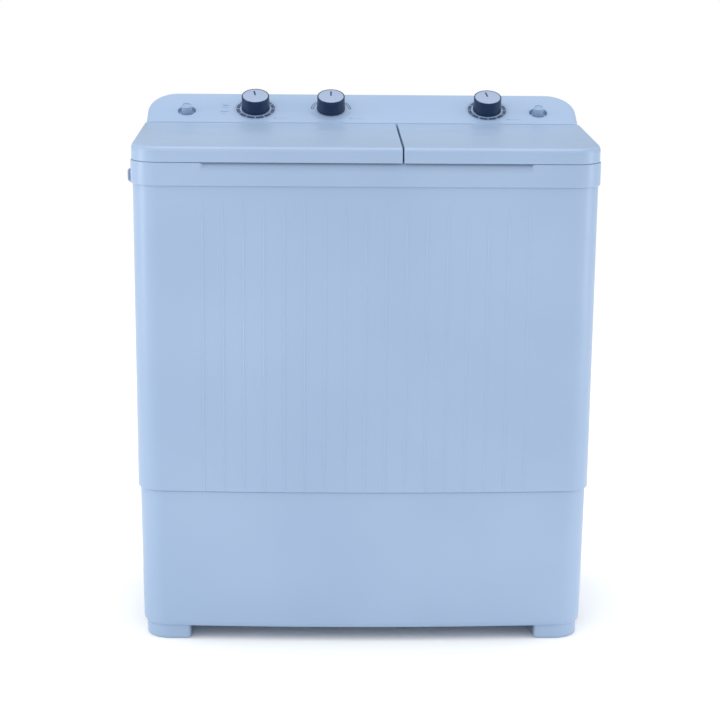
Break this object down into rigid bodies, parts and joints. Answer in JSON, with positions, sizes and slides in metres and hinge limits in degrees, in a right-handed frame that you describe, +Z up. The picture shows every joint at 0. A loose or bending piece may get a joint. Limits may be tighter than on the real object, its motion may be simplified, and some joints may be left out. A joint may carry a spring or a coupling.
{
  "type": "twin tub washer",
  "caption": "Free-standing twin tub washer: wash tub with pulsator, spin basket, two rear-hinged lids, sloping control panel with rotary knobs.",
  "frame": {"origin": "centre of the bounding box, hose hook included, on the floor", "axes": "+Z up, +X to the right of someone facing the front, -Y out of the front"},
  "size_m": [0.8264, 0.4652, 0.9459],
  "materials": {
    "blue_plastic": "glossy moulded polypropylene, powder blue",
    "pale_plastic": "satin moulded ABS, pale blue",
    "navy_plastic": "semi-gloss moulded ABS, navy",
    "white_plastic": "satin moulded polypropylene, off-white",
    "grey_plastic": "moulded plastic, grey",
    "black_rubber": "moulded rubber, matte",
    "zinc_steel": "zinc-plated pressed steel",
    "painted_steel": "satin grey paint",
    "stainless": "stainless steel",
    "cast_alloy": "die-cast alloy"
  },
  "bodies": {
    "cabinet": {"base": "blue_plastic", "bellows_seal": "black_rubber", "cabinet": "blue_plastic", "control_panel": "blue_plastic", "cord_gland": "black_rubber", "drain_hose": "grey_plastic", "drain_selector": "white_plastic", "drain_valve": "grey_plastic", "drive_belt": "black_rubber", "foot_front_left": "blue_plastic", "foot_front_right": "blue_plastic", "foot_rear_left": "blue_plastic", "foot_rear_right": "blue_plastic", "hose_hook": "pale_plastic", "inlet_left": "blue_plastic", "inlet_right": "blue_plastic", "lid_hinge_block_1": "blue_plastic", "lid_hinge_block_2": "blue_plastic", "lid_hinge_block_3": "blue_plastic", "lid_hinge_block_4": "blue_plastic", "lint_filter": "pale_plastic", "pulsator_bearing": "cast_alloy", "rear_cover": "white_plastic", "rear_cover_screw_1": "zinc_steel", "rear_cover_screw_2": "zinc_steel", "rear_cover_screw_3": "zinc_steel", "rear_cover_screw_4": "zinc_steel", "spin_casing": "white_plastic", "spin_inlet_hose": "grey_plastic", "spin_motor": "painted_steel", "spin_motor_mount_1": "black_rubber", "spin_motor_mount_2": "black_rubber", "spin_motor_mount_3": "black_rubber", "spin_timer": "white_plastic", "top_frame": "blue_plastic", "tub_platform": "grey_plastic", "wash_motor": "painted_steel", "wash_motor_bracket": "zinc_steel", "wash_timer": "white_plastic", "wash_tub": "white_plastic"},
    "wash_lid": {"wash_lid": "blue_plastic"},
    "spin_lid": {"spin_lid": "blue_plastic"},
    "spin_safety_cover": {"spin_safety_cover": "white_plastic"},
    "wash_timer_knob": {"wash_timer_knob": "navy_plastic", "wash_timer_cap": "pale_plastic"},
    "drain_selector_knob": {"drain_selector_knob": "navy_plastic", "drain_selector_cap": "pale_plastic"},
    "spin_timer_knob": {"spin_timer_knob": "navy_plastic", "spin_timer_cap": "pale_plastic"},
    "pulsator": {"pulsator": "white_plastic", "pulsator_screw": "stainless", "pulsator_shaft": "stainless", "large_pulley": "cast_alloy"},
    "motor_pulley": {"motor_pulley": "cast_alloy"},
    "spin_basket": {"spin_basket": "stainless", "spin_press_cover": "white_plastic", "spin_shaft": "stainless", "brake_drum": "cast_alloy"},
    "brake_arm": {"brake_arm": "zinc_steel"},
    "drain_plug": {"drain_plug": "black_rubber"}
  },
  "joints": [
    {"name": "wash_lid_hinge", "type": "hinge", "parent": "cabinet", "child": "wash_lid", "pos_m": [-0.15425, 0.0775, 0.8815], "axis": [-1, 0, 0], "range_deg": [0, 100]},
    {"name": "spin_lid_hinge", "type": "hinge", "parent": "cabinet", "child": "spin_lid", "pos_m": [0.23975, 0.0775, 0.8815], "axis": [-1, 0, 0], "range_deg": [0, 100]},
    {"name": "safety_cover_hinge", "type": "hinge", "parent": "cabinet", "child": "spin_safety_cover", "pos_m": [0.23575, 0.06, 0.8545], "axis": [-1, 0, 0], "range_deg": [0, 90]},
    {"name": "wash_timer_turn", "type": "hinge", "parent": "cabinet", "child": "wash_timer_knob", "pos_m": [-0.18775, 0.1336, 0.91003], "axis": [0, -0.4226, 0.9063], "range_deg": [-300, 0]},
    {"name": "drain_selector_turn", "type": "hinge", "parent": "cabinet", "child": "drain_selector_knob", "pos_m": [-0.04775, 0.1336, 0.91003], "axis": [0, -0.4226, 0.9063], "range_deg": [-60, 60]},
    {"name": "spin_timer_turn", "type": "hinge", "parent": "cabinet", "child": "spin_timer_knob", "pos_m": [0.24325, 0.1336, 0.91003], "axis": [0, -0.4226, 0.9063], "range_deg": [-300, 0]},
    {"name": "pulsator_spin", "type": "hinge", "parent": "cabinet", "child": "pulsator", "pos_m": [-0.14025, -0.025, 0.36], "axis": [0, 0, 1], "continuous": true},
    {"name": "wash_motor_spin", "type": "hinge", "parent": "cabinet", "child": "motor_pulley", "pos_m": [-0.14025, 0.125, 0.298], "axis": [0, 0, 1], "continuous": true},
    {"name": "basket_spin", "type": "hinge", "parent": "cabinet", "child": "spin_basket", "pos_m": [0.23575, -0.06, 0.4], "axis": [0, 0, 1], "continuous": true},
    {"name": "brake_arm_swing", "type": "hinge", "parent": "cabinet", "child": "brake_arm", "pos_m": [0.17075, -0.118, 0.236], "axis": [0, 0, 1], "range_deg": [0, 2]},
    {"name": "drain_plug_lift", "type": "slide", "parent": "cabinet", "child": "drain_plug", "axis": [0, 0, 1], "range_m": [0, 0.01]}
  ],
  "couplings": [
    {"joint": "safety_cover_hinge", "follows": "spin_lid_hinge", "ratio": 0.9},
    {"joint": "brake_arm_swing", "follows": "spin_lid_hinge", "ratio": 0.02},
    {"joint": "wash_motor_spin", "follows": "pulsator_spin", "ratio": 4}
  ]
}
